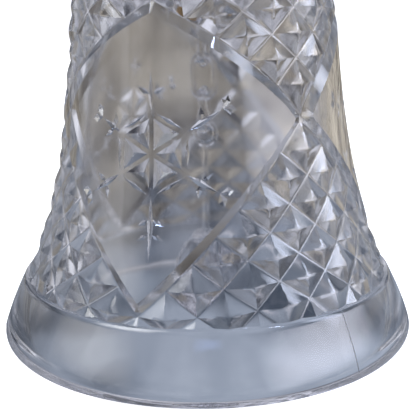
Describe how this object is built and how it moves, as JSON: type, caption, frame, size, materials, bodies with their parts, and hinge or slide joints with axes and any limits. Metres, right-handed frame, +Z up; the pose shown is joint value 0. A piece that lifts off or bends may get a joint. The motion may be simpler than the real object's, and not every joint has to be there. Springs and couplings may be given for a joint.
{
  "type": "glass bell",
  "caption": "Cut crystal bell with smooth snowflake panels, diamond facets, a plain flared mouth band, a metal crown cap with a hanging ring, and a chained striker inside.",
  "frame": {"origin": "middle of the mouth, on the plane that the rim rests on", "axes": "+Z up along the axis of the bell, -Y towards the front panel, +X to its right"},
  "size_m": [0.064, 0.0638, 0.0821],
  "materials": {
    "crystal": "polished clear lead crystal",
    "bead_crystal": "polished clear lead crystal",
    "gilt_brass": "polished gilt",
    "clear_acrylic": "moulded, clear",
    "steel": "plated",
    "pad": "soft, translucent white"
  },
  "bodies": {
    "root": {"bell_shell": "crystal", "crown_pad": "pad", "stem_sleeve": "pad", "crown_cap": "gilt_brass", "cap_collar": "gilt_brass", "hanger_eye": "gilt_brass", "inner_pad": "pad", "cup_washer": "gilt_brass", "spring_washer": "steel", "stem_nut": "steel", "eye_nut": "clear_acrylic"},
    "ring": {"hanging_ring": "gilt_brass"},
    "link_1": {"chain_link_1": "clear_acrylic"},
    "link_2": {"chain_link_2": "clear_acrylic"},
    "link_3": {"chain_link_3": "clear_acrylic"},
    "striker": {"clapper_wire": "clear_acrylic", "upper_bead_cap": "clear_acrylic", "clapper_bead": "bead_crystal", "lower_bead_cap": "clear_acrylic", "clapper_nut": "clear_acrylic"}
  },
  "joints": [
    {"name": "ring_swing", "type": "hinge", "parent": "root", "child": "ring", "pos_m": [0, 0, 0.0784], "axis": [0, 1, 0], "range_deg": [-262, 0]},
    {"name": "link_1_swing", "type": "hinge", "parent": "root", "child": "link_1", "pos_m": [0, 0, 0.0462], "axis": [1, 0, 0], "range_deg": [-12, 12]},
    {"name": "link_2_swing", "type": "hinge", "parent": "link_1", "child": "link_2", "pos_m": [0, 0, 0.0412], "axis": [0, 1, 0], "range_deg": [-12, 12]},
    {"name": "link_3_swing", "type": "hinge", "parent": "link_2", "child": "link_3", "pos_m": [0, 0, 0.0361], "axis": [1, 0, 0], "range_deg": [-12, 12]},
    {"name": "striker_swing", "type": "hinge", "parent": "link_3", "child": "striker", "pos_m": [0, 0, 0.031], "axis": [0, 1, 0], "range_deg": [-12, 12]}
  ]
}
